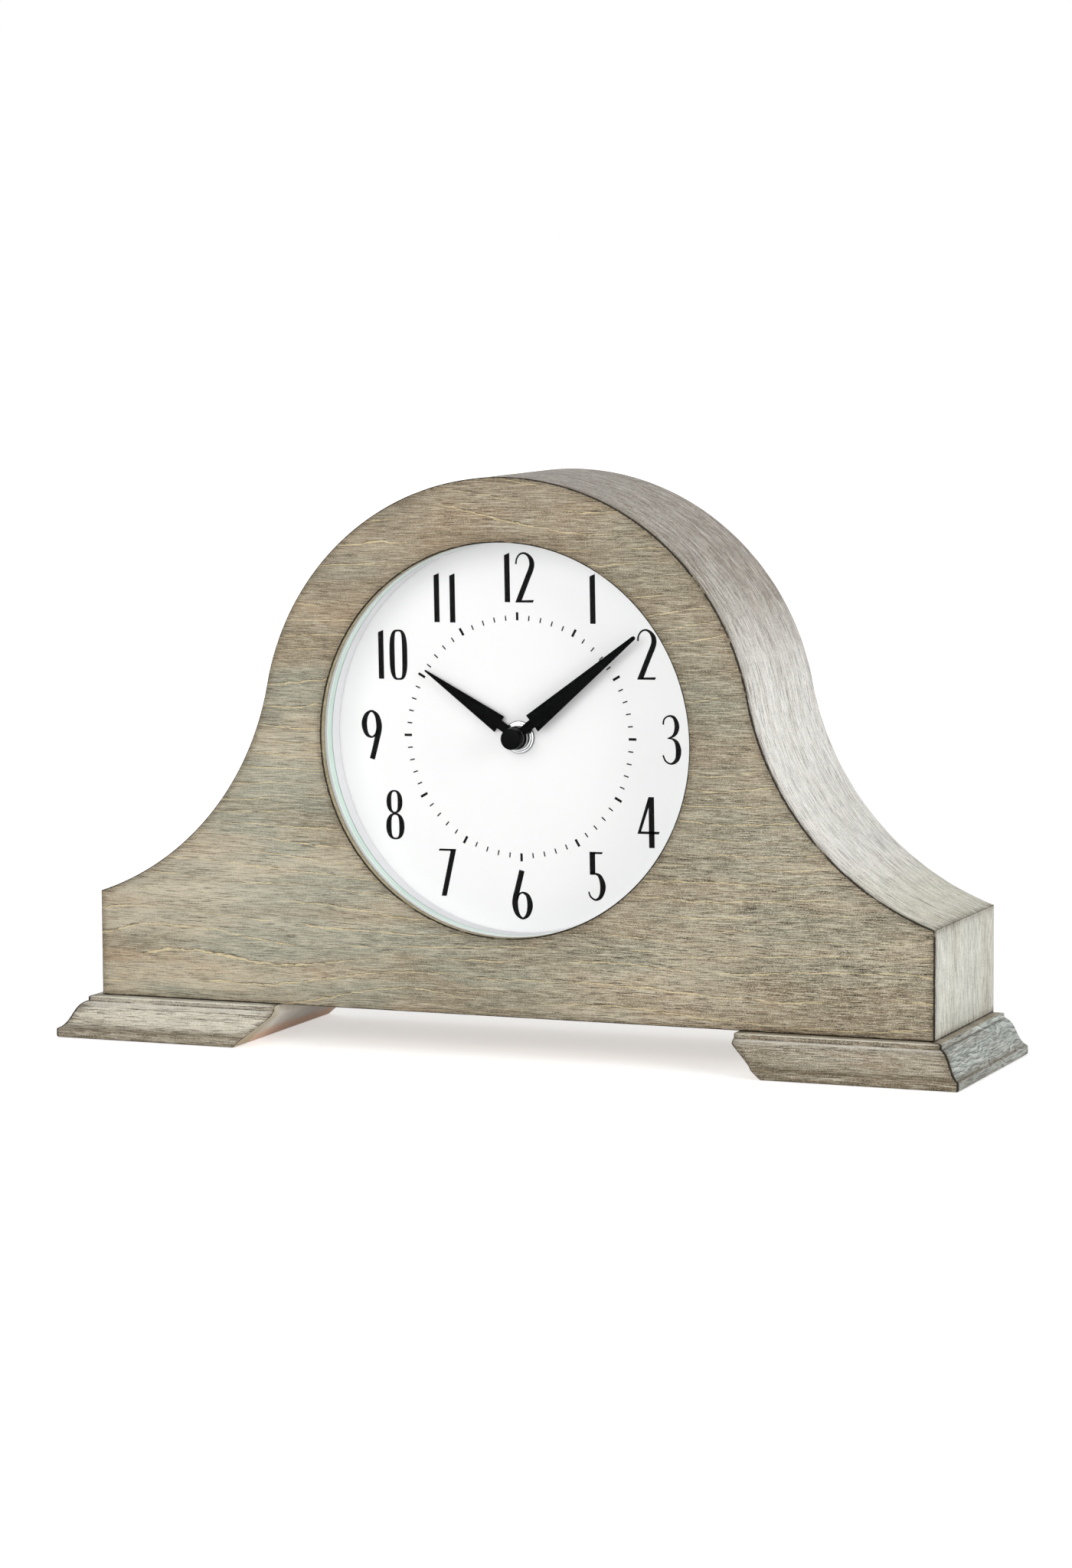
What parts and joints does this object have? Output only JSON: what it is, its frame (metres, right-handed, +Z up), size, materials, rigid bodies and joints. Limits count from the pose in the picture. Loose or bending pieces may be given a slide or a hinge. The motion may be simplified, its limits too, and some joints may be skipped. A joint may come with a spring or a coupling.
{
  "type": "mantel clock",
  "caption": "Tambour mantel clock: arched wooden case on moulded feet, round glazed dial, two hands, battery movement with its gears and a hinged rear door.",
  "frame": {"origin": "on the surface that the feet stand on, under the middle of the clock's overall width and depth", "axes": "+Z up, dial facing -Y, +X to the viewer's right along the clock's width"},
  "size_m": [0.4318, 0.1058, 0.2589],
  "materials": {
    "grey_washed_wood": "grey-washed open grain, satin",
    "inner_wood": "bare softwood",
    "fibreboard": "bare fibreboard, matte",
    "glass": "clear flat glass",
    "pale_green": "pale green, glossy",
    "white_card": "white, matte",
    "black_paint": "matte black",
    "bright_metal": "plated, bright",
    "steel": "plain steel",
    "brass": "plain brass",
    "black_plastic": "moulded black plastic",
    "white_plastic": "moulded off-white plastic",
    "bonded_magnet": "plastic-bonded magnet, dark grey",
    "rubber": "black rubber",
    "copper": "enamelled copper wire",
    "circuit_green": "green circuit board",
    "battery_jacket": "plain dark jacket"
  },
  "bodies": {
    "case": {"front_panel": "grey_washed_wood", "arch_band": "grey_washed_wood", "left_end_panel": "grey_washed_wood", "right_end_panel": "grey_washed_wood", "left_foot": "grey_washed_wood", "right_foot": "grey_washed_wood", "bottom_board": "inner_wood", "left_glue_block": "inner_wood", "right_glue_block": "inner_wood", "left_cleat": "inner_wood", "right_cleat": "inner_wood", "bottom_cleat": "inner_wood", "arch_cleat": "inner_wood", "back_panel": "fibreboard", "upper_hinge_fixed_leaf": "brass", "upper_hinge_pin": "brass", "lower_hinge_fixed_leaf": "brass", "lower_hinge_pin": "brass", "catch_magnet": "white_plastic", "lens": "glass", "lens_ring": "pale_green", "dial_spacer": "white_card", "dial": "white_card", "dial_screw_1": "steel", "dial_screw_2": "steel", "dial_screw_3": "steel", "dial_screw_4": "steel", "fixing_nut": "bright_metal", "gasket": "rubber", "movement_front_case": "black_plastic", "movement_rear_case": "black_plastic", "stator": "steel", "coil_core": "steel", "coil_bobbin": "white_plastic", "coil_winding": "copper", "circuit_board": "circuit_green", "quartz_crystal": "bright_metal", "battery": "battery_jacket", "positive_contact": "steel", "spring_contact": "steel"},
    "rear_door": {"back_door": "fibreboard", "door_knob": "brass", "catch_strike": "steel", "upper_hinge_moving_leaf": "brass", "lower_hinge_moving_leaf": "brass"},
    "minute_work": {"minute_arbor": "brass", "minute_hand": "black_paint", "hand_cap": "black_plastic"},
    "hour_work": {"hour_wheel": "white_plastic", "hour_hand": "black_paint", "hour_collet": "black_plastic"},
    "motion_gear": {"motion_wheel": "white_plastic"},
    "hand_setter": {"setting_knob": "black_plastic"},
    "second_gear": {"second_wheel": "white_plastic"},
    "third_gear": {"third_wheel": "white_plastic"},
    "centre_gear": {"centre_wheel": "white_plastic"},
    "intermediate_gear": {"intermediate_wheel": "white_plastic"},
    "motor_rotor": {"rotor": "bonded_magnet"}
  },
  "joints": [
    {"name": "rear_door_hinge", "type": "hinge", "parent": "case", "child": "rear_door", "pos_m": [-0.0605, 0.04725, 0.137], "axis": [0, 0, 1], "range_deg": [0, 110]},
    {"name": "minute_hand_turn", "type": "hinge", "parent": "case", "child": "minute_work", "pos_m": [0, -0.01675, 0.142], "axis": [0, 1, 0], "continuous": true},
    {"name": "hour_hand_turn", "type": "hinge", "parent": "case", "child": "hour_work", "pos_m": [0, -0.01675, 0.142], "axis": [0, 1, 0], "continuous": true},
    {"name": "motion_wheel_turn", "type": "hinge", "parent": "case", "child": "motion_gear", "pos_m": [0.00752, -0.01675, 0.13926], "axis": [0, 1, 0], "continuous": true},
    {"name": "setting_knob_turn", "type": "hinge", "parent": "case", "child": "hand_setter", "pos_m": [0.01317, -0.01675, 0.14492], "axis": [0, 1, 0], "continuous": true},
    {"name": "second_wheel_turn", "type": "hinge", "parent": "case", "child": "second_gear", "pos_m": [-0.0114, -0.01675, 0.15783], "axis": [0, 1, 0], "continuous": true},
    {"name": "third_wheel_turn", "type": "hinge", "parent": "case", "child": "third_gear", "pos_m": [-0.00959, -0.01675, 0.14753], "axis": [0, 1, 0], "continuous": true},
    {"name": "centre_wheel_turn", "type": "hinge", "parent": "case", "child": "centre_gear", "pos_m": [0, -0.01675, 0.142], "axis": [0, 1, 0], "continuous": true},
    {"name": "intermediate_wheel_turn", "type": "hinge", "parent": "case", "child": "intermediate_gear", "pos_m": [-0.00402, -0.01675, 0.15783], "axis": [0, 1, 0], "continuous": true},
    {"name": "rotor_turn", "type": "hinge", "parent": "case", "child": "motor_rotor", "pos_m": [0.00269, -0.01675, 0.15539], "axis": [0, 1, 0], "continuous": true}
  ],
  "couplings": [
    {"joint": "hour_hand_turn", "follows": "minute_hand_turn", "ratio": 0.083333},
    {"joint": "motion_wheel_turn", "follows": "minute_hand_turn", "ratio": -0.33333},
    {"joint": "setting_knob_turn", "follows": "minute_hand_turn", "ratio": 1},
    {"joint": "third_wheel_turn", "follows": "second_wheel_turn", "ratio": -0.13333},
    {"joint": "centre_wheel_turn", "follows": "second_wheel_turn", "ratio": 0.016667},
    {"joint": "intermediate_wheel_turn", "follows": "second_wheel_turn", "ratio": -5},
    {"joint": "rotor_turn", "follows": "second_wheel_turn", "ratio": 30}
  ]
}
